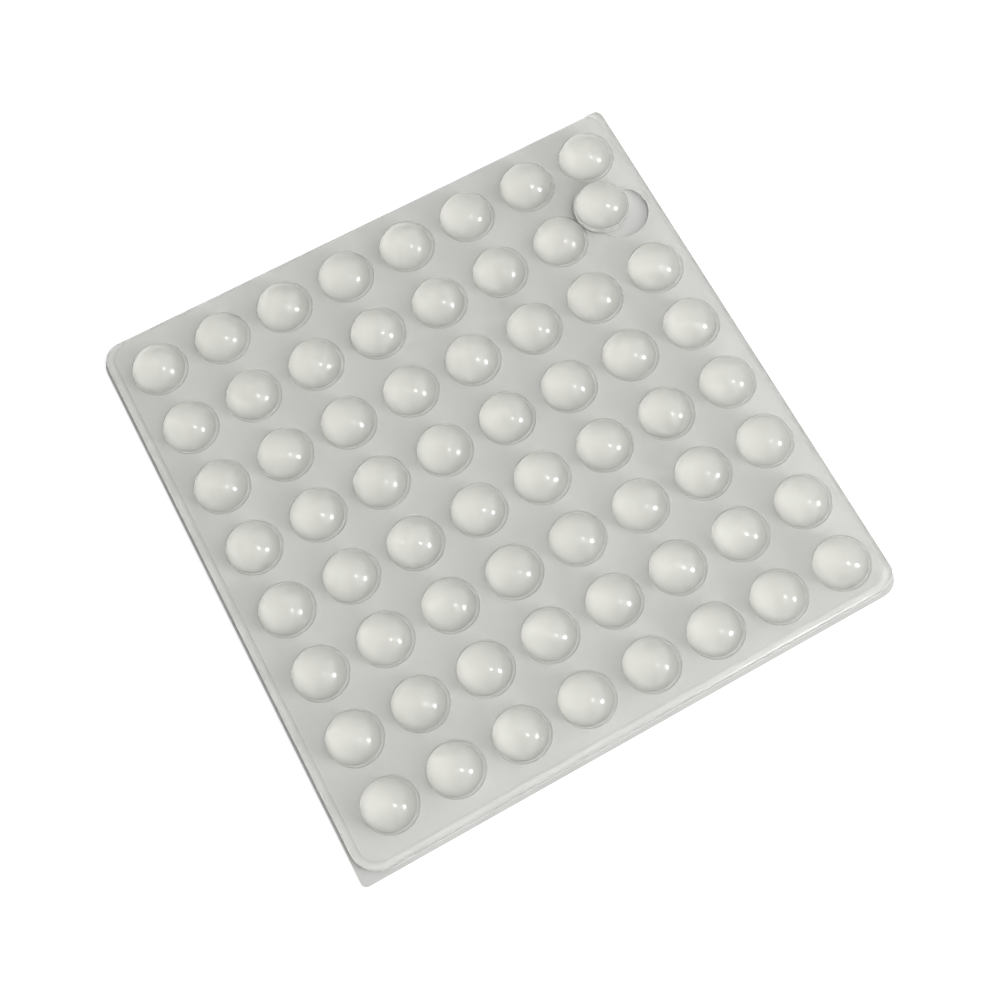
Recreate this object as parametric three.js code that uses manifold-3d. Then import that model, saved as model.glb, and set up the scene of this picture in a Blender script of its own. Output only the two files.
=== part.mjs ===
// Sheet of clear self-adhesive cabinet door bumpers on its release liner.
// Rows of half-round bumpers are cast in one web of soft polyurethane, which
// has a raised lip along its border. A round kiss cut frees each bumper from
// the web. The sheet is trimmed flush with its liner at the right and at the
// back. One bumper has been peeled off and laid back beside its socket.
// Units are millimetres, +Z is up, and the origin is under the middle of the
// liner's underside.

import * as THREE from 'three';
import * as BufferGeometryUtils from 'three/addons/utils/BufferGeometryUtils.js';
import Module from 'manifold-3d';

const wasm = await Module();
wasm.setup();

// Grid of bumpers, counted from the front left.
const columns = 8;
const rows = 8;
const columnPitch = 12.2;
const rowPitch = 12.6;

// Layers, from the bottom up.
const linerThickness = 0.12;
const tapeThickness = 0.15;
const webThickness = 0.45;

// One bumper. Its dome stands on a narrow flange that the kiss cut leaves.
const bumperDiameter = 9.9;
const flangeWidth = 0.35;
const domeHeight = 4;
const footFillet = 0.1;

// Kiss cut round each bumper, and the thin bridge that is left under it. The
// die stands a little to the right and to the front of the domes.
const cutWidth = 0.2;
const cutBridge = 0.1;
const cutShiftRight = 0.17;
const cutShiftFront = 0.11;

// Border of the web, from the centre of the nearest bumper to each edge.
// The casting is a little out of square, so two edges have a size per end.
const leftMarginFront = 9.3;
const leftMarginBack = 7.8;
const frontMarginLeft = 9.4;
const frontMarginRight = 7.5;
const rightMargin = 7.5;
const backMargin = 8.9;
const webCornerRadius = 5;
const lipWidth = 1.5;
const lipHeight = 0.35;

// Liner. It stands past the web at the left and at the front. At the right
// and at the back its edge is the trim line, measured from the last bumper.
const linerOverhangLeft = 0.5;
const linerOverhangFront = 0.8;
const trimRight = 6.8;
const trimBackLeft = 7.7;
const trimBackRight = 7.2;
const linerRadiusFrontLeft = 1;
const linerRadiusFrontRight = 3.5;
const linerRadiusBackRight = 0.4;
const linerRadiusBackLeft = 4;

// The peeled bumper is the last one of the second row from the back. Then
// the gap to the dome that it lies beside, how far it lies towards the next
// row, how far it is turned round in degrees, and the play of its socket.
const peeledColumn = columns - 1;
const peeledRow = rows - 2;
const peeledGap = 0.4;
const peeledRise = 0.18 * rowPitch;
const peeledTurn = 245;
const socketPlay = 0.05;

// Facets.
const seatedSides = 15;
const seatedDomeSteps = 3;
const peeledSides = 48;
const peeledDomeSteps = 10;
const filletSteps = 4;
const cornerSteps = 5;
const lipSteps = 4;

// Heights and sizes that follow from the values above.
const tapeTop = linerThickness + tapeThickness;
const webTop = tapeTop + webThickness;
const peeledBase = webTop + tapeThickness;
const bumperRadius = bumperDiameter / 2;
const domeRadius = bumperRadius - flangeWidth;
const halfAcross = ((columns - 1) * columnPitch) / 2;
const halfDeep = ((rows - 1) * rowPitch) / 2;
const abovePart = webTop + tapeThickness + webThickness + domeHeight;

const clearPolyurethane = { color: 0xd9dcd6, roughness: 0.12, metalness: 0 };
const adhesive = { color: 0xcdcfca, roughness: 0.45, metalness: 0 };
const siliconePaper = { color: 0xd0d1cf, roughness: 0.5, metalness: 0 };

// Centre of the bumper in a column and row.
function gridPoint(column, row) {
  const x = column * columnPitch - halfAcross;
  const y = row * rowPitch - halfDeep;
  return new THREE.Vector2(x, y);
}

// Centre of the kiss cut round the bumper in a column and row.
function cutPoint(column, row) {
  return gridPoint(column, row).add(new THREE.Vector2(cutShiftRight, -cutShiftFront));
}

// Points round a convex sheet with rounded corners, counter-clockwise, moved
// in from the edge by an inset. A corner is its sharp point and its radius.
function roundedOutline(corners, inset = 0) {
  const points = [];
  corners.forEach(({ point, radius }, index) => {
    const before = corners.at(index - 1).point;
    const after = corners[(index + 1) % corners.length].point;
    const arriving = point.clone().sub(before).normalize();
    const leaving = after.clone().sub(point).normalize();
    const outOfFirst = new THREE.Vector2(arriving.y, -arriving.x);
    const outOfSecond = new THREE.Vector2(leaving.y, -leaving.x);
    const reach = radius / (1 + outOfFirst.dot(outOfSecond));
    const centre = outOfFirst.clone().add(outOfSecond).multiplyScalar(-reach).add(point);
    const turn = Math.acos(THREE.MathUtils.clamp(arriving.dot(leaving), -1, 1));
    for (let step = 0; step <= cornerSteps; step += 1) {
      const spoke = outOfFirst.clone().multiplyScalar(radius - inset);
      spoke.rotateAround(new THREE.Vector2(), (turn * step) / cornerSteps);
      points.push(centre.clone().add(spoke));
    }
  });
  return points;
}

// Closed body through a stack of outlines with as many points each: walls
// between them, and a flat cap on the first and on the last.
function stackGeometry(levels) {
  const count = levels[0].outline.length;
  const positions = [];
  for (const { outline, z } of levels) {
    for (const { x, y } of outline) {
      positions.push(x, y, z);
    }
  }
  const index = [];
  for (let level = 0; level < levels.length - 1; level += 1) {
    const low = level * count;
    const high = low + count;
    for (let i = 0; i < count; i += 1) {
      const next = (i + 1) % count;
      index.push(low + i, low + next, high + next);
      index.push(low + i, high + next, high + i);
    }
  }
  const top = (levels.length - 1) * count;
  for (const [a, b, c] of THREE.ShapeUtils.triangulateShape(levels[0].outline, [])) {
    index.push(c, b, a);
  }
  for (const [a, b, c] of THREE.ShapeUtils.triangulateShape(levels.at(-1).outline, [])) {
    index.push(top + a, top + b, top + c);
  }
  const geometry = new THREE.BufferGeometry();
  geometry.setAttribute('position', new THREE.Float32BufferAttribute(positions, 3));
  geometry.setIndex(index);
  return geometry;
}

// Turned body from a profile of radius and height, standing on +Z.
function turnedGeometry(profile, sides) {
  const points = profile.map(([radius, z]) => new THREE.Vector2(radius, z));
  return new THREE.LatheGeometry(points, sides).rotateX(Math.PI / 2);
}

// Round disc or plug between two heights.
function discGeometry(radius, low, high, sides) {
  return turnedGeometry([[0, low], [radius, low], [radius, high], [0, high]], sides);
}

// Solid for joining and cutting. Triangles that shrink to a line where a
// profile meets its axis are dropped.
function toSolid(geometry, x = 0, y = 0) {
  const bare = geometry.clone().translate(x, y, 0);
  bare.deleteAttribute('normal');
  bare.deleteAttribute('uv');
  const merged = BufferGeometryUtils.mergeVertices(bare, 1e-5);
  const corners = merged.index.array;
  const kept = [];
  for (let i = 0; i < corners.length; i += 3) {
    const [a, b, c] = corners.slice(i, i + 3);
    if (a !== b && b !== c && c !== a) {
      kept.push(a, b, c);
    }
  }
  const vertProperties = new Float32Array(merged.attributes.position.array);
  const triVerts = new Uint32Array(kept);
  return new wasm.Manifold(new wasm.Mesh({ numProp: 3, vertProperties, triVerts }));
}

function toMesh(solid, name, finish) {
  const { vertProperties, triVerts, numProp } = solid.getMesh();
  const positions = [];
  for (let i = 0; i < vertProperties.length; i += numProp) {
    positions.push(...vertProperties.slice(i, i + 3));
  }
  const geometry = new THREE.BufferGeometry();
  geometry.setAttribute('position', new THREE.Float32BufferAttribute(positions, 3));
  geometry.setIndex([...triVerts]);
  geometry.computeVertexNormals();
  const mesh = new THREE.Mesh(geometry, new THREE.MeshStandardMaterial(finish));
  mesh.name = name;
  return mesh;
}

function cornerOf(x, y, radius) {
  return { point: new THREE.Vector2(x, y), radius };
}

// Corners of the cast web, from the front left and counter-clockwise.
function webCorners() {
  const right = halfAcross + rightMargin;
  const back = halfDeep + backMargin;
  return [
    cornerOf(-halfAcross - leftMarginFront, -halfDeep - frontMarginLeft, webCornerRadius),
    cornerOf(right, -halfDeep - frontMarginRight, webCornerRadius),
    cornerOf(right, back, webCornerRadius),
    cornerOf(-halfAcross - leftMarginBack, back, webCornerRadius),
  ];
}

// Corners of the liner, in the same order.
function linerCorners() {
  const [frontLeft, frontRight, , backLeft] = webCorners().map((corner) => corner.point);
  const leftFront = frontLeft.x - linerOverhangLeft;
  const leftBack = backLeft.x - linerOverhangLeft;
  const right = halfAcross + trimRight;
  return [
    cornerOf(leftFront, frontLeft.y - linerOverhangFront, linerRadiusFrontLeft),
    cornerOf(right, frontRight.y - linerOverhangFront, linerRadiusFrontRight),
    cornerOf(right, halfDeep + trimBackRight, linerRadiusBackRight),
    cornerOf(leftBack, halfDeep + trimBackLeft, linerRadiusBackLeft),
  ];
}

// Everything inside the liner's edge, which is where the knife trims.
function trimSolid() {
  const outline = roundedOutline(linerCorners());
  return toSolid(stackGeometry([{ outline, z: -1 }, { outline, z: abovePart }]));
}

// Points up the dome, from its foot to just under its crown.
function domeArc(steps) {
  const sphere = (domeRadius ** 2 + domeHeight ** 2) / (2 * domeHeight);
  const footAngle = Math.atan2(domeRadius, sphere - domeHeight);
  const arc = [];
  for (let step = 0; step < steps; step += 1) {
    const angle = footAngle * (1 - step / steps);
    arc.push([sphere * Math.sin(angle), sphere * (Math.cos(angle) - 1) + domeHeight]);
  }
  return arc;
}

// Dome of a seated bumper, rooted in the web.
function seatedDome() {
  const root = webTop - webThickness / 2;
  const arc = domeArc(seatedDomeSteps).map(([radius, height]) => [radius, webTop + height]);
  const profile = [[0, root], [domeRadius, root], ...arc, [0, webTop + domeHeight]];
  return turnedGeometry(profile, seatedSides);
}

// Kiss cut: a narrow V round the flange that stops short of the tape. It is
// drawn to twice its depth, so that it opens above the web.
function kissCut() {
  const bottom = tapeTop + cutBridge;
  const above = bottom + 2 * (webTop - bottom);
  const profile = [
    [bumperRadius, bottom],
    [bumperRadius + cutWidth, above],
    [bumperRadius - cutWidth, above],
    [bumperRadius, bottom],
  ];
  return turnedGeometry(profile, seatedSides);
}

// Web with its lip: a flat sheet whose border swells into a half-round bead.
function castWeb() {
  const corners = webCorners();
  const levels = [{ outline: roundedOutline(corners), z: tapeTop }];
  for (let step = 0; step <= lipSteps; step += 1) {
    const angle = (Math.PI * step) / lipSteps;
    const inset = (lipWidth / 2) * (1 - Math.cos(angle));
    levels.push({ outline: roundedOutline(corners, inset), z: webTop + lipHeight * Math.sin(angle) });
  }
  return stackGeometry(levels);
}

function socketPlug() {
  const { x, y } = cutPoint(peeledColumn, peeledRow);
  const plug = discGeometry(bumperRadius + socketPlay, -1, abovePart, peeledSides);
  return toSolid(plug, x, y);
}

// The cast sheet: web, lip, kiss cuts and every bumper that is still seated.
function bumperSheet() {
  let sheet = toSolid(castWeb()).intersect(trimSolid()).subtract(socketPlug());
  const dome = seatedDome();
  const cut = kissCut();
  for (let row = 0; row < rows; row += 1) {
    for (let column = 0; column < columns; column += 1) {
      if (row === peeledRow && column === peeledColumn) {
        continue;
      }
      const centre = gridPoint(column, row);
      const cutCentre = cutPoint(column, row);
      sheet = sheet.subtract(toSolid(cut, cutCentre.x, cutCentre.y));
      sheet = sheet.add(toSolid(dome, centre.x, centre.y));
    }
  }
  return toMesh(sheet, 'bumper_sheet', clearPolyurethane);
}

// Adhesive tape under the web, with a hole where the peeled bumper took its
// own disc of tape along.
function adhesiveTape() {
  const outline = roundedOutline(webCorners());
  const tape = toSolid(stackGeometry([{ outline, z: linerThickness }, { outline, z: tapeTop }]));
  const trimmed = tape.intersect(trimSolid()).subtract(socketPlug());
  return toMesh(trimmed, 'adhesive_tape', adhesive);
}

function releaseLiner() {
  const outline = roundedOutline(linerCorners());
  const liner = toSolid(stackGeometry([{ outline, z: 0 }, { outline, z: linerThickness }]));
  return toMesh(liner, 'release_liner', siliconePaper);
}

// Where the peeled bumper lies: beside the dome left of its socket, a little
// nearer to the row behind.
function peeledPlace() {
  const neighbour = gridPoint(peeledColumn - 1, peeledRow);
  const distance = bumperRadius + domeRadius + peeledGap;
  const across = Math.sqrt(distance ** 2 - peeledRise ** 2);
  return neighbour.add(new THREE.Vector2(across, peeledRise));
}

// Hollow fillet between the dome's foot and the flange, from the flange up.
// It meets the flange flat and the dome at the dome's own slope.
function footArc() {
  const sphere = (domeRadius ** 2 + domeHeight ** 2) / (2 * domeHeight);
  const footAngle = Math.atan2(domeRadius, sphere - domeHeight);
  const setBack = footFillet * Math.tan(footAngle / 2);
  const centreRadius = domeRadius + setBack;
  const arc = [];
  for (let step = 0; step <= filletSteps; step += 1) {
    const angle = (footAngle * step) / filletSteps;
    const radius = centreRadius - footFillet * Math.sin(angle);
    arc.push([radius, footFillet * (1 - Math.cos(angle))]);
  }
  return arc;
}

// One loose bumper: a die-cut disc of the web with the dome on it. The dome is
// as far off the disc's centre as on the sheet, and has turned with the disc.
function peeledBumper() {
  const flangeTop = peeledBase + webThickness;
  const foot = footArc();
  const [lastRadius, lastHeight] = foot.at(-1);
  const arc = domeArc(peeledDomeSteps).filter(
    ([radius, height]) => radius < lastRadius && height > lastHeight,
  );
  const upper = [...foot, ...arc].map(([radius, height]) => [radius, flangeTop + height]);
  const root = flangeTop - webThickness / 2;
  const profile = [[0, root], [upper[0][0], root], ...upper, [0, flangeTop + domeHeight]];
  const { x, y } = peeledPlace();
  const shift = new THREE.Vector2(-cutShiftRight, cutShiftFront);
  shift.rotateAround(new THREE.Vector2(), THREE.MathUtils.degToRad(peeledTurn));
  const disc = toSolid(discGeometry(bumperRadius, peeledBase, flangeTop, peeledSides), x, y);
  const dome = toSolid(turnedGeometry(profile, peeledSides), x + shift.x, y + shift.y);
  return toMesh(disc.add(dome), 'peeled_bumper', clearPolyurethane);
}

function peeledTape() {
  const { x, y } = peeledPlace();
  const disc = discGeometry(bumperRadius, webTop, peeledBase, peeledSides);
  return toMesh(toSolid(disc, x, y), 'peeled_bumper_tape', adhesive);
}

// The origin goes under the middle of the liner.
const middle = new THREE.Box2().setFromPoints(roundedOutline(linerCorners())).getCenter(new THREE.Vector2());

const sheet = new THREE.Group();
sheet.add(releaseLiner(), adhesiveTape(), bumperSheet(), peeledTape(), peeledBumper());
sheet.position.set(-middle.x, -middle.y, 0);

export default sheet;
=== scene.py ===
import math

import bmesh
import bpy
from mathutils import Matrix, Vector


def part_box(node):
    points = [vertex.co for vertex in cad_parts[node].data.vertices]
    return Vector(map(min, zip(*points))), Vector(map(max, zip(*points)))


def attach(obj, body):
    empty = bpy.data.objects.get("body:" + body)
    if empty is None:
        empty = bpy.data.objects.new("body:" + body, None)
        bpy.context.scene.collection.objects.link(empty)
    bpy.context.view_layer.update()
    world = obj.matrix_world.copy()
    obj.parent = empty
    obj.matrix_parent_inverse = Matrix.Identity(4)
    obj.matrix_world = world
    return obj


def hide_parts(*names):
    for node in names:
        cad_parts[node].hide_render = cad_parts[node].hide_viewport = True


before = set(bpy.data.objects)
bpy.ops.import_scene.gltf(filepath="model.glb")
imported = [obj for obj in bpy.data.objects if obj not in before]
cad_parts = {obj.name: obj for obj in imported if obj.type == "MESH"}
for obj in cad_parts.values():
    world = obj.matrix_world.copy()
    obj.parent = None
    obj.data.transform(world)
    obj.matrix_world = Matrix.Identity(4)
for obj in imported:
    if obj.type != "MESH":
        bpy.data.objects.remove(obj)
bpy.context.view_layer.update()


# Release liner. A sheet of paper with a silicone coat on its upper side, so
# that the adhesive lets go of it. It is die-cut and carries the whole sheet.
def linear(hex_colour):
    """sRGB hex to the linear colour that a shader socket takes."""
    channels = [int(hex_colour[i:i + 2], 16) / 255 for i in (1, 3, 5)]
    return [c / 12.92 if c <= 0.04045 else ((c + 0.055) / 1.055) ** 2.4 for c in channels] + [1.0]


def add_node(tree, kind, settings=None, inputs=None):
    """A node with its settings, and its inputs set to values or linked to sockets."""
    node = tree.nodes.new(kind)
    for name, value in (settings or {}).items():
        setattr(node, name, value)
    for name, value in (inputs or {}).items():
        socket = node.inputs[name]
        if isinstance(value, bpy.types.NodeSocket):
            tree.links.new(value, socket)
        else:
            socket.default_value = value
    return node


def new_material(name):
    """An empty node material, and the sockets that its patterns start from."""
    material = bpy.data.materials.new(name)
    material.use_nodes = True
    tree = material.node_tree
    tree.nodes.clear()
    place = add_node(tree, "ShaderNodeTexCoord").outputs["Object"]
    return material, tree, place


def finish_material(tree, shader, volume=None):
    output = add_node(tree, "ShaderNodeOutputMaterial", inputs={"Surface": shader.outputs[0]})
    if volume:
        tree.links.new(volume.outputs[0], output.inputs["Volume"])


# Siliconised paper: satin, with soft clouds where the pulp is denser.
def siliconised_paper():
    cloud_size = 0.006
    fibre_size = 0.0004
    material, tree, place = new_material("siliconised_paper_satin")
    cloud = add_node(tree, "ShaderNodeTexNoise", inputs={
        "Vector": place, "Scale": 1 / cloud_size, "Detail": 3.0})
    fibre = add_node(tree, "ShaderNodeTexNoise", inputs={
        "Vector": place, "Scale": 1 / fibre_size, "Detail": 2.0})
    colour = add_node(tree, "ShaderNodeValToRGB", inputs={"Fac": cloud.outputs["Fac"]})
    colour.color_ramp.elements[0].position = 0.35
    colour.color_ramp.elements[0].color = linear("#bdbdbb")
    colour.color_ramp.elements[1].position = 0.65
    colour.color_ramp.elements[1].color = linear("#c4c4c2")
    bump = add_node(tree, "ShaderNodeBump", inputs={
        "Height": fibre.outputs["Fac"], "Strength": 0.15, "Distance": 0.00002})
    shader = add_node(tree, "ShaderNodeBsdfPrincipled", inputs={
        "Base Color": colour.outputs["Color"], "Roughness": 0.45, "IOR": 1.45,
        "Normal": bump.outputs["Normal"]})
    finish_material(tree, shader)
    return material


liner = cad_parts["release_liner"]
liner.data.materials.clear()
liner.data.materials.append(siliconised_paper())


# Adhesive tape. A thin tissue soaked in clear acrylic adhesive, laid between
# the liner and the casting. The sheet's own tape has a hole where the peeled
# bumper took its disc along.
def adhesive_tissue():
    cloud_size = 0.00833
    fibre_size = 0.0008
    material, tree, place = new_material("acrylic_adhesive_tissue")
    cloud = add_node(tree, "ShaderNodeTexNoise", inputs={
        "Vector": place, "Scale": 1 / cloud_size, "Detail": 1.0})
    fibre = add_node(tree, "ShaderNodeTexNoise", inputs={
        "Vector": place, "Scale": 1 / fibre_size, "Detail": 1.0})
    both = add_node(tree, "ShaderNodeMix", {"data_type": "FLOAT"}, inputs={
        "Factor": 0.3, "A": cloud.outputs["Fac"], "B": fibre.outputs["Fac"]})
    colour = add_node(tree, "ShaderNodeValToRGB", inputs={"Fac": both.outputs[0]})
    colour.color_ramp.elements[0].position = 0.35
    colour.color_ramp.elements[0].color = linear("#f3f3f1")
    colour.color_ramp.elements[1].position = 0.65
    colour.color_ramp.elements[1].color = linear("#fafaf8")
    shader = add_node(tree, "ShaderNodeBsdfPrincipled", inputs={
        "Base Color": colour.outputs["Color"], "Roughness": 0.6, "IOR": 1.47})
    finish_material(tree, shader)
    return material


tape_material = adhesive_tissue()
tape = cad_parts["adhesive_tape"]
tape.data.materials.clear()
tape.data.materials.append(tape_material)


# Cast sheet. Clear polyurethane poured as one web with a raised lip along its
# border and rows of half-round bumpers, each inside a round kiss cut. It is
# trimmed through the lip at the right and at the back.
columns, rows = 8, 8
column_pitch, row_pitch = 0.0122, 0.0126
bumper_radius = 0.00495
flange_width = 0.00035
dome_radius = bumper_radius - flange_width
dome_height = 0.004
foot_fillet = 0.00005
cut_width = 0.00018
cut_bridge = 0.0001
bumper_sides = 64
foot_steps = 3
dome_steps = 17
# The die stands a little to the right and to the front of the domes.
cut_shift = Vector((0.00017, -0.00011))
dome_sphere = (dome_radius ** 2 + dome_height ** 2) / (2 * dome_height)
foot_angle = math.atan2(dome_radius, dome_sphere - dome_height)

sheet_low, sheet_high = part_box("bumper_sheet")
tape_top = sheet_low.z
web_top = sheet_high.z - dome_height
# The casting wets the tape, so its underside lies just inside the tape.
wetting = 0.00002

# The peeled bumper lies beside the dome left of its socket.
peeled_low, peeled_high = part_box("peeled_bumper")
peeled_gap = 0.0004
peeled_rise = 0.18 * row_pitch
peeled_across = math.sqrt((bumper_radius + dome_radius + peeled_gap) ** 2 - peeled_rise ** 2)
peeled_centre = (peeled_low + peeled_high) / 2
half_across = (columns - 1) * column_pitch / 2
half_deep = (rows - 1) * row_pitch / 2
grid_x = peeled_centre.x - peeled_across - (half_across - column_pitch)
grid_y = peeled_centre.y - peeled_rise - (half_deep - row_pitch)
socket_index = (columns - 1) * rows + rows - 2
socket_x = grid_x + half_across + cut_shift.x
socket_y = grid_y + half_deep - row_pitch + cut_shift.y
socket_play = 0.00005
socket_radius = bumper_radius + socket_play


def rounded_outline(corners, inset, steps=12):
    """Points round a convex sheet, counter-clockwise, from sharp corners and their radii."""
    points = []
    for i, (corner, radius) in enumerate(corners):
        arriving = (corner - corners[i - 1][0]).normalized()
        leaving = (corners[(i + 1) % len(corners)][0] - corner).normalized()
        first = Vector((arriving.y, -arriving.x))
        second = Vector((leaving.y, -leaving.x))
        centre = corner - (first + second) * radius / (1 + first.dot(second))
        turn = first.angle(second)
        for step in range(steps + 1):
            spoke = first.copy()
            spoke.rotate(Matrix.Rotation(turn * step / steps, 2))
            points.append(centre + spoke * (radius - inset))
    return points


def around_grid(x, y):
    """The place at a margin, across and deep, from the centre of the nearest corner bumper."""
    return Vector((grid_x + math.copysign(half_across, x) + x, grid_y + math.copysign(half_deep, y) + y))


# Margins from the centre of the nearest bumper, at each corner.
web_corner_radius = 0.005
web_corners = [
    (around_grid(-0.0093, -0.0094), web_corner_radius),
    (around_grid(0.0075, -0.0075), web_corner_radius),
    (around_grid(0.0075, 0.0089), web_corner_radius),
    (around_grid(-0.0078, 0.0089), web_corner_radius),
]
trim_corners = [
    (around_grid(-0.0098, -0.0102), 0.001),
    (around_grid(0.0068, -0.0083), 0.0035),
    (around_grid(0.0068, 0.0072), 0.0004),
    (around_grid(-0.0083, 0.0077), 0.004),
]
lip_width = 0.0015
lip_height = 0.00035
lip_steps = 14


def web_body():
    """The web without its flat top: lip, edge, underside and the wall of the socket."""
    mesh = bmesh.new()
    loops = []
    for step in range(lip_steps + 1):
        angle = math.pi * step / lip_steps
        inset = lip_width / 2 * (1 - math.cos(angle))
        height = web_top + lip_height * math.sin(angle)
        loops.append([mesh.verts.new((*p, height)) for p in rounded_outline(web_corners, inset)])
    count = len(loops[0])
    for outer, inner in zip(loops, loops[1:]):
        for i in range(count):
            j = (i + 1) % count
            mesh.faces.new((outer[i], outer[j], inner[j], inner[i]))
    mesh.faces.new(loops[-1])
    trim = rounded_outline(trim_corners, 0.0)
    for i, corner in enumerate(trim):
        along = trim[(i + 1) % len(trim)] - corner
        bmesh.ops.bisect_plane(
            mesh, geom=mesh.verts[:] + mesh.edges[:] + mesh.faces[:], dist=1e-8,
            plane_co=(*corner, 0), plane_no=(along.y, -along.x, 0), clear_outer=True)
    bmesh.ops.remove_doubles(mesh, verts=mesh.verts[:], dist=1e-7)
    border = [edge for edge in mesh.edges if edge.is_boundary]
    grown = bmesh.ops.extrude_edge_only(mesh, edges=border)["geom"]
    floor_verts = [item for item in grown if isinstance(item, bmesh.types.BMVert)]
    for vert in floor_verts:
        vert.co.z = tape_top - wetting
    flat_top = max(mesh.faces, key=lambda face: face.calc_area())
    bmesh.ops.delete(mesh, geom=[flat_top], context="FACES_ONLY")
    rings = []
    for height in (web_top, tape_top - wetting):
        spokes = [2 * math.pi * i / bumper_sides for i in range(bumper_sides)]
        rings.append([
            mesh.verts.new((
                socket_x + socket_radius * math.cos(turn),
                socket_y + socket_radius * math.sin(turn),
                height))
            for turn in spokes])
    for i in range(bumper_sides):
        j = (i + 1) % bumper_sides
        mesh.faces.new((rings[0][i], rings[0][j], rings[1][j], rings[1][i]))
    lowest = {*floor_verts, *rings[1]}
    floor_edges = [e for e in mesh.edges if e.is_boundary and set(e.verts) <= lowest]
    bmesh.ops.triangle_fill(mesh, edges=floor_edges, use_beauty=True)
    made = bpy.data.meshes.new("web_body")
    mesh.to_mesh(made)
    mesh.free()
    return made


def dome_arc(steps):
    """Radius and height up the dome, from its foot to just under its crown."""
    arc = []
    for step in range(steps):
        angle = foot_angle * (1 - step / steps)
        arc.append((dome_sphere * math.sin(angle), dome_sphere * (math.cos(angle) - 1) + dome_height))
    return arc


def foot_arc(steps):
    """Hollow fillet from the flange up to the dome, at the dome's own slope."""
    centre_radius = dome_radius + foot_fillet * math.tan(foot_angle / 2)
    arc = []
    for step in range(steps + 1):
        angle = foot_angle * step / steps
        arc.append((centre_radius - foot_fillet * math.sin(angle), foot_fillet * (1 - math.cos(angle))))
    return arc


def bumper_profile():
    """Radius and height from the start of the fillet to the crown."""
    foot = foot_arc(foot_steps)
    smallest_step = 0.0001
    dome = [p for p in dome_arc(dome_steps) if p[1] > foot[-1][1] + smallest_step]
    return foot + dome + [(0.0, dome_height)]


def turned_mesh(name, disc_profile, dome_profile, dome_shift, centre=(0.0, 0.0, 0.0)):
    """A die-cut disc and the dome on it, each turned from radius and height about its own axis."""
    mesh = bmesh.new()
    loops = []
    shifted = [(point, Vector((0, 0))) for point in disc_profile]
    shifted += [(point, dome_shift) for point in dome_profile]
    for (radius, height), shift in shifted:
        spokes = range(bumper_sides) if radius > 0 else (0,)
        loops.append([mesh.verts.new((
            centre[0] + shift.x + radius * math.cos(2 * math.pi * i / bumper_sides),
            centre[1] + shift.y + radius * math.sin(2 * math.pi * i / bumper_sides),
            centre[2] + height)) for i in spokes])
    for low, high in zip(loops, loops[1:]):
        for i in range(bumper_sides):
            j = (i + 1) % bumper_sides
            corners = [low[i % len(low)], low[j % len(low)], high[j % len(high)], high[i % len(high)]]
            mesh.faces.new(list(dict.fromkeys(corners)))
    made = bpy.data.meshes.new(name)
    mesh.to_mesh(made)
    mesh.free()
    return made


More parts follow.
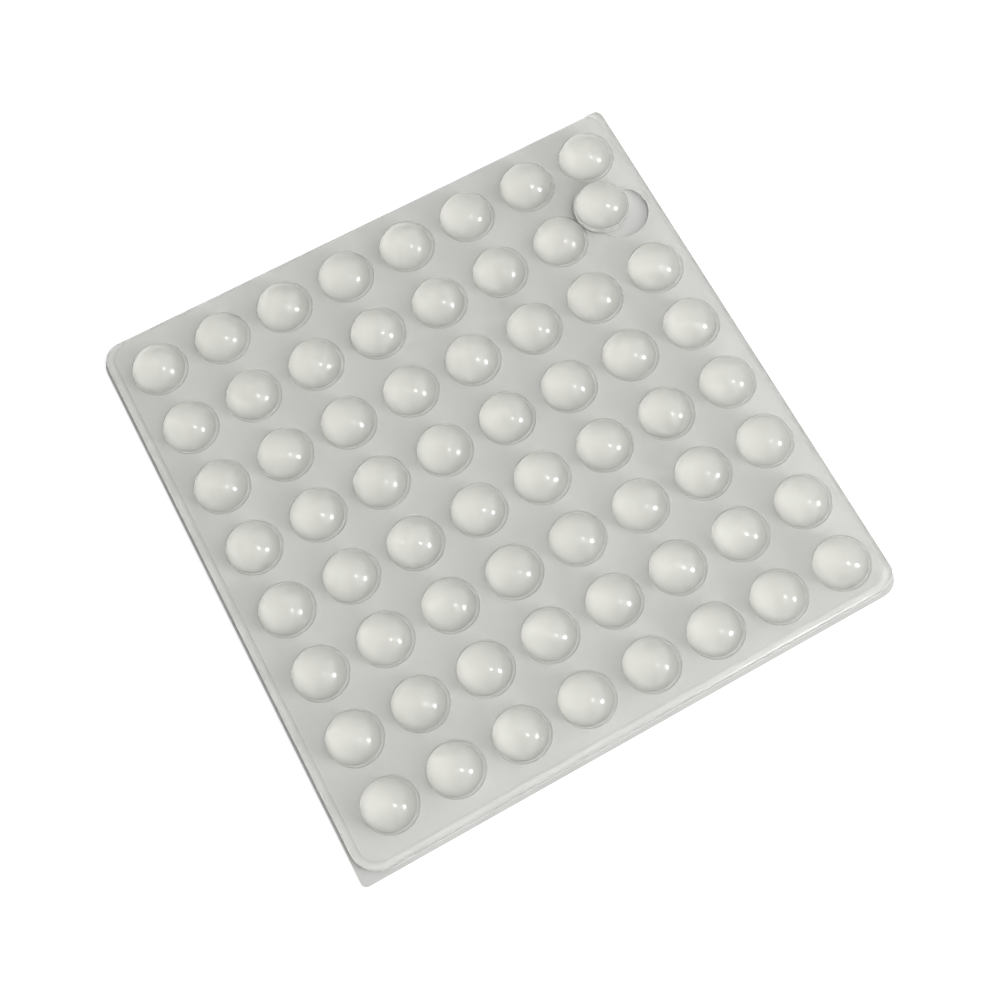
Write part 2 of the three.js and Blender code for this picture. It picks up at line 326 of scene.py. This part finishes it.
def bumper_pattern():
    """Geometry Nodes tree that fills the web's flat top and sets a bumper at every place of the grid but the
    socket.
    """
    tree = bpy.data.node_groups.new("bumpers_on_the_web", "GeometryNodeTree")
    tree.interface.new_socket("Geometry", in_out="OUTPUT", socket_type="NodeSocketGeometry")
    for name, kind in (
            ("Web", "Geometry"), ("Bumper", "Object"), ("Columns", "Int"), ("Rows", "Int"),
            ("Column Pitch", "Float"), ("Row Pitch", "Float"), ("Grid Centre", "Vector"),
            ("Socket", "Int"), ("Cut Radius", "Float"), ("Sides", "Int"), ("Material", "Material")):
        tree.interface.new_socket(name, in_out="INPUT", socket_type="NodeSocket" + kind)
    given = add_node(tree, "NodeGroupInput").outputs

    def spread(count, pitch):
        gaps = add_node(tree, "ShaderNodeMath", {"operation": "SUBTRACT"}, {0: given[count], 1: 1.0})
        return add_node(tree, "ShaderNodeMath", {"operation": "MULTIPLY"}, {
            0: gaps.outputs[0], 1: given[pitch]}).outputs[0]

    grid = add_node(tree, "GeometryNodeMeshGrid", inputs={
        "Size X": spread("Columns", "Column Pitch"), "Size Y": spread("Rows", "Row Pitch"),
        "Vertices X": given["Columns"], "Vertices Y": given["Rows"]})
    placed = add_node(tree, "GeometryNodeTransform", inputs={
        "Geometry": grid.outputs["Mesh"], "Translation": given["Grid Centre"]})
    points = add_node(tree, "GeometryNodeMeshToPoints", inputs={"Mesh": placed.outputs["Geometry"]})
    index = add_node(tree, "GeometryNodeInputIndex")
    is_socket = add_node(tree, "FunctionNodeCompare", {"data_type": "INT", "operation": "EQUAL"}, {
        2: index.outputs[0], 3: given["Socket"]})
    seats = add_node(tree, "GeometryNodeDeleteGeometry", {"domain": "POINT"}, {
        "Geometry": points.outputs[0], "Selection": is_socket.outputs[0]})
    bumper = add_node(tree, "GeometryNodeObjectInfo", inputs={"Object": given["Bumper"]})
    bumpers = add_node(tree, "GeometryNodeInstanceOnPoints", inputs={
        "Points": seats.outputs[0], "Instance": bumper.outputs["Geometry"]})
    ring = add_node(tree, "GeometryNodeCurvePrimitiveCircle", inputs={
        "Resolution": given["Sides"], "Radius": given["Cut Radius"]})
    rings = add_node(tree, "GeometryNodeInstanceOnPoints", inputs={
        "Points": seats.outputs[0], "Instance": ring.outputs["Curve"]})
    ring_curves = add_node(tree, "GeometryNodeRealizeInstances", inputs={"Geometry": rings.outputs[0]})
    faces = add_node(tree, "GeometryNodeInputMeshEdgeNeighbors")
    is_open = add_node(tree, "FunctionNodeCompare", {"data_type": "INT", "operation": "EQUAL"}, {
        2: faces.outputs[0], 3: 1})
    edge = add_node(tree, "GeometryNodeMeshToCurve", inputs={
        "Mesh": given["Web"], "Selection": is_open.outputs[0]})
    outlines = add_node(tree, "GeometryNodeJoinGeometry")
    tree.links.new(edge.outputs[0], outlines.inputs[0])
    tree.links.new(ring_curves.outputs[0], outlines.inputs[0])
    filled = add_node(tree, "GeometryNodeFillCurve", inputs={"Curve": outlines.outputs[0]})
    height = add_node(tree, "ShaderNodeSeparateXYZ", inputs={0: given["Grid Centre"]})
    lift = add_node(tree, "ShaderNodeCombineXYZ", inputs={2: height.outputs["Z"]})
    flat_top = add_node(tree, "GeometryNodeTransform", inputs={
        "Geometry": filled.outputs[0], "Translation": lift.outputs[0]})
    whole = add_node(tree, "GeometryNodeJoinGeometry")
    for part in (given["Web"], flat_top.outputs[0], bumpers.outputs[0]):
        tree.links.new(part, whole.inputs[0])
    real = add_node(tree, "GeometryNodeRealizeInstances", inputs={"Geometry": whole.outputs[0]})
    merged = add_node(tree, "GeometryNodeMergeByDistance", inputs={
        "Geometry": real.outputs[0], "Distance": 0.000001})
    finished = add_node(tree, "GeometryNodeSetMaterial", inputs={
        "Geometry": merged.outputs[0], "Material": given["Material"]})
    add_node(tree, "NodeGroupOutput", inputs={0: finished.outputs[0]})
    return tree


# Cast polyurethane: water-clear and glossy as poured, with a faint unevenness.
# The hazy share isn't read from the photo: a denoiser blurs the rims of the
# domes through a fully clear surface, and keeps them at this roughness.
def cast_polyurethane():
    ripple_size = 0.003
    dust_size = 0.00111
    hazy_share = 0.27
    material, tree, place = new_material("cast_clear_polyurethane")
    ripple = add_node(tree, "ShaderNodeTexNoise", inputs={
        "Vector": place, "Scale": 1 / ripple_size, "Detail": 1.0})
    dust = add_node(tree, "ShaderNodeTexNoise", inputs={
        "Vector": place, "Scale": 1 / dust_size, "Detail": 1.0})
    roughness = add_node(tree, "ShaderNodeMapRange", inputs={
        "Value": dust.outputs["Fac"], "To Min": 0.08, "To Max": 0.12})
    bump = add_node(tree, "ShaderNodeBump", inputs={
        "Height": ripple.outputs["Fac"], "Strength": 0.1, "Distance": 0.00001})
    shader = add_node(tree, "ShaderNodeBsdfPrincipled", inputs={
        "Base Color": linear("#fdfdfc"), "Roughness": roughness.outputs[0], "IOR": 1.49,
        "Transmission Weight": 1.0, "Normal": bump.outputs["Normal"]})
    haze = add_node(tree, "ShaderNodeBsdfPrincipled", inputs={
        "Base Color": linear("#fdfdfc"), "Roughness": 0.29, "IOR": 1.49,
        "Transmission Weight": 1.0, "Normal": bump.outputs["Normal"]})
    resin = add_node(tree, "ShaderNodeMixShader", inputs={
        0: hazy_share, 1: shader.outputs[0], 2: haze.outputs[0]})
    depth = add_node(tree, "ShaderNodeVolumeAbsorption", inputs={
        "Color": (0.85, 0.85, 0.8, 1.0), "Density": 100.0})
    finish_material(tree, resin, depth)
    return material


def closed_piece(name, mesh, material):
    """A piece of one closed mesh: doubles merged, faces outward, smooth between its real edges."""
    shape = bmesh.new()
    shape.from_mesh(mesh)
    bmesh.ops.remove_doubles(shape, verts=shape.verts[:], dist=5e-7)
    bmesh.ops.recalc_face_normals(shape, faces=shape.faces[:])
    shape.to_mesh(mesh)
    shape.free()
    mesh.shade_smooth()
    mesh.set_sharp_from_angle(angle=math.radians(28))
    mesh.materials.clear()
    mesh.materials.append(material)
    piece = bpy.data.objects.new(name, mesh)
    bpy.context.scene.collection.objects.link(piece)
    return piece


polyurethane = cast_polyurethane()
cut_depth = web_top - tape_top - cut_bridge
kiss_cut = [
    (bumper_radius + cut_width / 2, 0.0),
    (bumper_radius, -cut_depth),
    (bumper_radius - cut_width / 2, 0.0)]
seated = bpy.data.objects.new(
    "seated_bumper", turned_mesh("seated_bumper", kiss_cut, bumper_profile(), -cut_shift))
web = bpy.data.objects.new("web", web_body())
bpy.context.scene.collection.objects.link(web)
pattern = bumper_pattern()
nodes = web.modifiers.new("bumpers", "NODES")
nodes.node_group = pattern
values = {
    "Bumper": seated, "Columns": columns, "Rows": rows, "Column Pitch": column_pitch, "Row Pitch": row_pitch,
    "Grid Centre": (grid_x + cut_shift.x, grid_y + cut_shift.y, web_top), "Socket": socket_index,
    "Cut Radius": bumper_radius + cut_width / 2, "Sides": bumper_sides, "Material": polyurethane}
for item in pattern.interface.items_tree:
    if item.in_out == "INPUT" and item.name in values:
        nodes[item.identifier] = values[item.name]
evaluated = web.evaluated_get(bpy.context.evaluated_depsgraph_get())
sheet_mesh = bpy.data.meshes.new_from_object(evaluated)
sheet = closed_piece("cast_bumper_sheet", sheet_mesh, polyurethane)
for scratch in (web, seated):
    bpy.data.objects.remove(scratch)
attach(sheet, "root")
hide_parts("bumper_sheet")


# Tape disc of the peeled bumper. It came away with the bumper and now lies
# between it and the web.
peeled_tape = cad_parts["peeled_bumper_tape"]
peeled_tape.data.materials.clear()
peeled_tape.data.materials.append(tape_material)


# Peeled bumper. A die-cut disc of the same polyurethane with its dome, lifted
# out of the web, turned round and laid back on it beside its socket.
peeled_turn = math.radians(245)
peeled_shift = -cut_shift
peeled_shift.rotate(Matrix.Rotation(peeled_turn, 2))
disc_thickness = peeled_high.z - peeled_low.z - dome_height
lifted = [(r, h + disc_thickness) for r, h in bumper_profile()]
edge = [(0.0, -wetting), (bumper_radius, -wetting), (bumper_radius, disc_thickness)]
peeled_place = (peeled_centre.x, peeled_centre.y, peeled_low.z)
loose = closed_piece(
    "peeled_clear_bumper",
    turned_mesh("peeled_clear_bumper", edge, lifted, peeled_shift, peeled_place),
    polyurethane)
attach(loose, "root")
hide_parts("peeled_bumper")


# Floor. A plain white sweep that the sheet lies on. What the camera and a
# reflection see of it is lifted to white, and the shadow stays on it.
def white_floor():
    material, tree, place = new_material("white_floor")
    path = add_node(tree, "ShaderNodeLightPath").outputs
    seen = add_node(tree, "ShaderNodeMath", {"operation": "MAXIMUM"}, {
        0: path["Is Camera Ray"], 1: path["Is Glossy Ray"]})
    seen = add_node(tree, "ShaderNodeMath", {"operation": "MAXIMUM"}, {
        0: seen.outputs[0], 1: path["Is Transmission Ray"]})
    glow = add_node(tree, "ShaderNodeMath", {"operation": "MULTIPLY"}, {0: seen.outputs[0], 1: 0.6})
    shader = add_node(tree, "ShaderNodeBsdfPrincipled", inputs={
        "Base Color": linear("#c8c8c8"), "Roughness": 0.9, "Specular IOR Level": 0.0,
        "Emission Color": (1, 1, 1, 1), "Emission Strength": glow.outputs[0]})
    finish_material(tree, shader)
    return material


floor_mesh = bpy.data.meshes.new("floor")
floor_half = 3.0
floor_drop = 0.00003
floor_mesh.from_pydata(
    [(x * floor_half, y * floor_half, -floor_drop) for x, y in ((-1, -1), (1, -1), (1, 1), (-1, 1))], [],
    [(0, 1, 2, 3)])
floor_mesh.materials.append(white_floor())
floor = bpy.data.objects.new("floor", floor_mesh)
bpy.context.scene.collection.objects.link(floor)


# Camera, at the photograph's angle above the sheet's front right.
camera_azimuth = math.radians(-22.8378)
camera_elevation = math.radians(69.6912)
camera_roll = math.radians(-5.7881)
camera_distance = 0.36422
aim = Vector((grid_x - 0.0019144, grid_y - 0.0062751, 0.0))
back = Vector((math.sin(camera_azimuth) * math.cos(camera_elevation),
               -math.cos(camera_azimuth) * math.cos(camera_elevation), math.sin(camera_elevation)))
level_right = Vector((math.cos(camera_azimuth), math.sin(camera_azimuth), 0.0))
level_up = back.cross(level_right)
right = math.cos(camera_roll) * level_right + math.sin(camera_roll) * level_up
up = math.cos(camera_roll) * level_up - math.sin(camera_roll) * level_right
camera_data = bpy.data.cameras.new("camera")
camera_data.lens = 76.856
camera_data.clip_start = 0.01
camera = bpy.data.objects.new("camera", camera_data)
camera_axes = Matrix((right, up, back)).transposed().to_4x4()
camera.matrix_world = Matrix.Translation(aim + back * camera_distance) @ camera_axes
bpy.context.scene.collection.objects.link(camera)
bpy.context.scene.camera = camera


# Light. A small window at the right, a long soft panel overhead, and a pale
# room that is brighter towards the window.
def direction(azimuth, elevation):
    """Towards a place in the room, at an azimuth (0 is the camera's right) and an elevation in degrees."""
    turn = camera_azimuth + math.radians(azimuth)
    rise = math.radians(elevation)
    return Vector((math.cos(turn) * math.cos(rise), math.sin(turn) * math.cos(rise), math.sin(rise)))


def area_light(name, azimuth, elevation, width, height, radiance, distance=1.0):
    """A softbox as wide and high, in radians, as the sheet sees it."""
    towards = direction(azimuth, elevation)
    data = bpy.data.lights.new(name, "AREA")
    data.shape = "RECTANGLE"
    data.size, data.size_y = width * distance, height * distance
    data.energy = radiance * math.pi * data.size * data.size_y
    lamp = bpy.data.objects.new(name, data)
    lamp.location = towards * distance
    lamp.rotation_mode = "QUATERNION"
    lamp.rotation_quaternion = towards.to_track_quat("Z", "Y")
    bpy.context.scene.collection.objects.link(lamp)


area_light("window", -19, 19, 0.2, 0.26, 27.0)
area_light("panel", -35, 58, 0.12, 0.27, 20.0)


def pale_room():
    """World with a soft bright patch wherever a large softbox stands."""
    world = bpy.data.worlds.new("pale_room")
    world.use_nodes = True
    room = world.node_tree
    room.nodes.clear()
    seen_at = add_node(room, "ShaderNodeTexCoord").outputs["Generated"]
    glow = 0.0
    for towards, dark_from, full_within, strength in (
            (direction(0, 90), 45, 0, 0.7),
            (direction(90, 55), 45, 0, 0.4),
            (direction(-38, 33), 40, 0, 1.1),
            (direction(0, 33), 40, 0, 1.3),
            (direction(38, 33), 40, 0, 1.1),
            (direction(-35, 12), 35, 0, 1.1),
            (direction(35, 12), 35, 0, 0.7),
            (direction(180, 20), 60, 0, 0.25)):
        nearness = add_node(room, "ShaderNodeVectorMath", {"operation": "DOT_PRODUCT"}, {
            0: seen_at, 1: towards})
        patch = add_node(room, "ShaderNodeMapRange", {"interpolation_type": "SMOOTHSTEP"}, {
            "Value": nearness.outputs["Value"], "From Min": math.cos(math.radians(dark_from)),
            "From Max": math.cos(math.radians(full_within)), "To Min": 0.0, "To Max": strength})
        glow = add_node(room, "ShaderNodeMath", {"operation": "ADD"}, {
            0: glow, 1: patch.outputs[0]}).outputs[0]
    path = add_node(room, "ShaderNodeLightPath").outputs
    strength = add_node(room, "ShaderNodeMix", {"data_type": "FLOAT"}, {
        "Factor": path["Is Camera Ray"], "A": glow, "B": 1.0}).outputs[0]
    shine = add_node(room, "ShaderNodeBackground", inputs={"Color": (1, 1, 1, 1), "Strength": strength})
    add_node(room, "ShaderNodeOutputWorld", inputs={"Surface": shine.outputs[0]})
    return world


bpy.context.scene.world = pale_room()
bpy.context.scene.view_settings.view_transform = "Standard"
